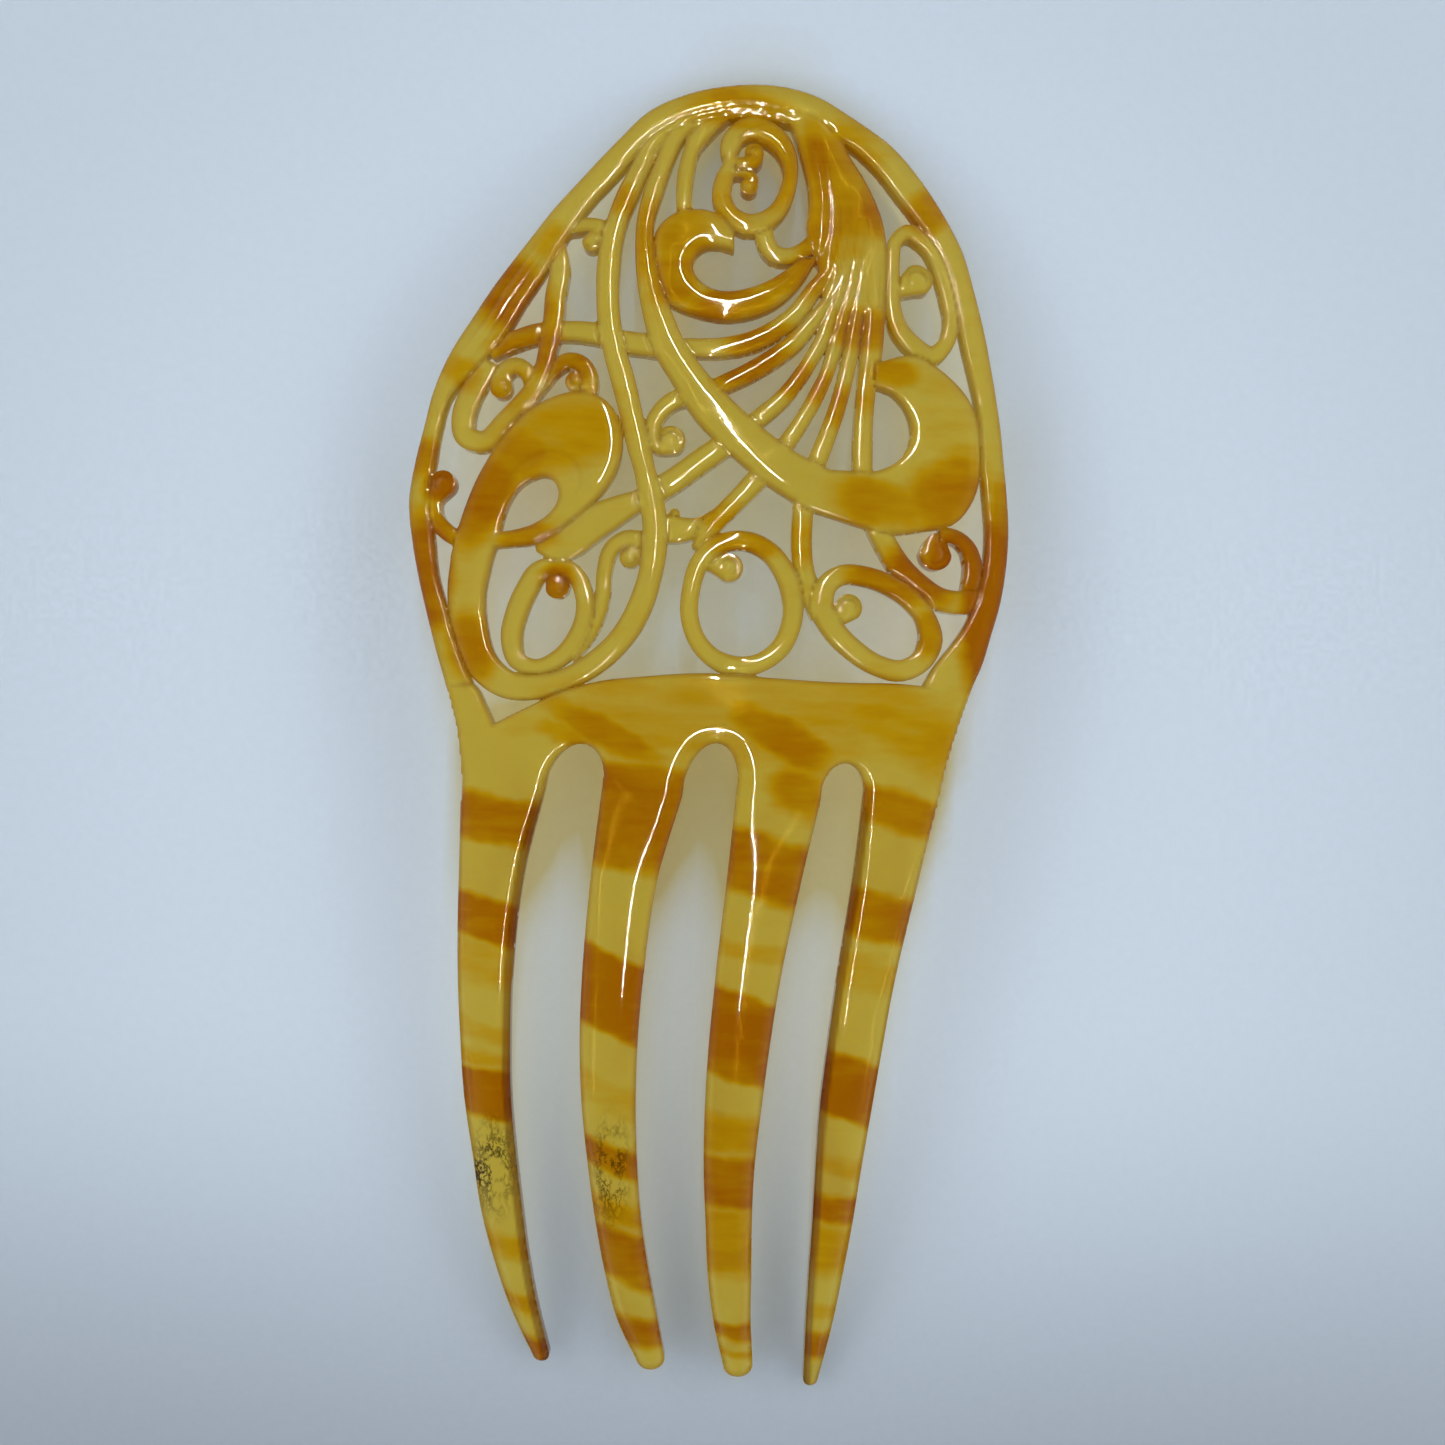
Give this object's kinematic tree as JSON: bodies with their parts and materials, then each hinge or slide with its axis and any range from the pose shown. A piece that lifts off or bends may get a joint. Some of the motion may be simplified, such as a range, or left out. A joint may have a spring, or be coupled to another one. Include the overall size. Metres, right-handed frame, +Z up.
{
  "type": "decorative hair comb",
  "caption": "Curved decorative hair comb of amber-banded celluloid: long tapering teeth below a plain bar and a pierced, carved head of scrolls, paisley and crescent inside a rounded rim.",
  "frame": {"origin": "middle of the bounding box in plan, at the height of the lowest point, which the comb rests on", "axes": "+X to the right seen from the carved side, +Y from the tooth tips to the top of the head, +Z up out of the convex carved face"},
  "size_m": [0.0676, 0.151, 0.0158],
  "materials": {
    "bar_celluloid": "polished translucent celluloid, pale honey banded with amber",
    "centre_curl_celluloid": "polished translucent celluloid, pale honey banded with amber",
    "centre_oval_celluloid": "polished translucent celluloid, pale honey banded with amber",
    "crescent_celluloid": "polished translucent celluloid, pale honey banded with amber",
    "crossbar_left_celluloid": "polished translucent celluloid, pale honey banded with amber",
    "crossbar_middle_celluloid": "polished translucent celluloid, pale honey banded with amber",
    "crossbar_right_celluloid": "polished translucent celluloid, pale honey banded with amber",
    "crown_celluloid": "polished translucent celluloid, pale honey banded with amber",
    "drop_stem_celluloid": "polished translucent celluloid, pale honey banded with amber",
    "ear_scroll_celluloid": "polished translucent celluloid, pale honey banded with amber",
    "eye_curls_celluloid": "polished translucent celluloid, pale honey banded with amber",
    "eye_ring_celluloid": "polished translucent celluloid, pale honey banded with amber",
    "leaf_celluloid": "polished translucent celluloid, pale honey banded with amber",
    "left_curl_celluloid": "polished translucent celluloid, pale honey banded with amber",
    "left_loop_curl_celluloid": "polished translucent celluloid, pale honey banded with amber",
    "left_oval_celluloid": "polished translucent celluloid, pale honey banded with amber",
    "left_rim_celluloid": "polished translucent celluloid, pale honey banded with amber",
    "left_tendril_celluloid": "polished translucent celluloid, pale honey banded with amber",
    "lower_scroll_celluloid": "polished translucent celluloid, pale honey banded with amber",
    "main_stem_celluloid": "polished translucent celluloid, pale honey banded with amber",
    "paisley_celluloid": "polished translucent celluloid, pale honey banded with amber",
    "paisley_hook_celluloid": "polished translucent celluloid, pale honey banded with amber",
    "paisley_stem_celluloid": "polished translucent celluloid, pale honey banded with amber",
    "paisley_tail_celluloid": "polished translucent celluloid, pale honey banded with amber",
    "plume_celluloid": "polished translucent celluloid, pale honey banded with amber",
    "ray_1_celluloid": "polished translucent celluloid, pale honey banded with amber",
    "ray_2_celluloid": "polished translucent celluloid, pale honey banded with amber",
    "ray_3_celluloid": "polished translucent celluloid, pale honey banded with amber",
    "ray_4_celluloid": "polished translucent celluloid, pale honey banded with amber",
    "ray_5_celluloid": "polished translucent celluloid, pale honey banded with amber",
    "ray_6_celluloid": "polished translucent celluloid, pale honey banded with amber",
    "ribbon_celluloid": "polished translucent celluloid, pale honey banded with amber",
    "ribbon_hook_celluloid": "polished translucent celluloid, pale honey banded with amber",
    "right_loop_celluloid": "polished translucent celluloid, pale honey banded with amber",
    "right_oval_celluloid": "polished translucent celluloid, pale honey banded with amber",
    "right_rim_celluloid": "polished translucent celluloid, pale honey banded with amber",
    "right_stem_celluloid": "polished translucent celluloid, pale honey banded with amber",
    "rim_curl_celluloid": "polished translucent celluloid, pale honey banded with amber",
    "short_strand_celluloid": "polished translucent celluloid, pale honey banded with amber",
    "small_hook_celluloid": "polished translucent celluloid, pale honey banded with amber",
    "strut_lower_celluloid": "polished translucent celluloid, pale honey banded with amber",
    "strut_upper_celluloid": "polished translucent celluloid, pale honey banded with amber",
    "tooth_1_celluloid": "polished translucent celluloid, pale honey banded with amber",
    "tooth_2_celluloid": "polished translucent celluloid, pale honey banded with amber",
    "tooth_3_celluloid": "polished translucent celluloid, pale honey banded with amber",
    "tooth_4_celluloid": "polished translucent celluloid, pale honey banded with amber"
  },
  "bodies": {
    "root": {"bar": "bar_celluloid", "centre_curl": "centre_curl_celluloid", "centre_oval": "centre_oval_celluloid", "crescent": "crescent_celluloid", "crossbar_left": "crossbar_left_celluloid", "crossbar_middle": "crossbar_middle_celluloid", "crossbar_right": "crossbar_right_celluloid", "crown": "crown_celluloid", "drop_stem": "drop_stem_celluloid", "ear_scroll": "ear_scroll_celluloid", "eye_curls": "eye_curls_celluloid", "eye_ring": "eye_ring_celluloid", "leaf": "leaf_celluloid", "left_curl": "left_curl_celluloid", "left_loop_curl": "left_loop_curl_celluloid", "left_oval": "left_oval_celluloid", "left_rim": "left_rim_celluloid", "left_tendril": "left_tendril_celluloid", "lower_scroll": "lower_scroll_celluloid", "main_stem": "main_stem_celluloid", "paisley": "paisley_celluloid", "paisley_hook": "paisley_hook_celluloid", "paisley_stem": "paisley_stem_celluloid", "paisley_tail": "paisley_tail_celluloid", "plume": "plume_celluloid", "ray_1": "ray_1_celluloid", "ray_2": "ray_2_celluloid", "ray_3": "ray_3_celluloid", "ray_4": "ray_4_celluloid", "ray_5": "ray_5_celluloid", "ray_6": "ray_6_celluloid", "ribbon": "ribbon_celluloid", "ribbon_hook": "ribbon_hook_celluloid", "right_loop": "right_loop_celluloid", "right_oval": "right_oval_celluloid", "right_rim": "right_rim_celluloid", "right_stem": "right_stem_celluloid", "rim_curl": "rim_curl_celluloid", "short_strand": "short_strand_celluloid", "small_hook": "small_hook_celluloid", "strut_lower": "strut_lower_celluloid", "strut_upper": "strut_upper_celluloid", "tooth_1": "tooth_1_celluloid", "tooth_2": "tooth_2_celluloid", "tooth_3": "tooth_3_celluloid", "tooth_4": "tooth_4_celluloid"}
  },
  "joints": []
}
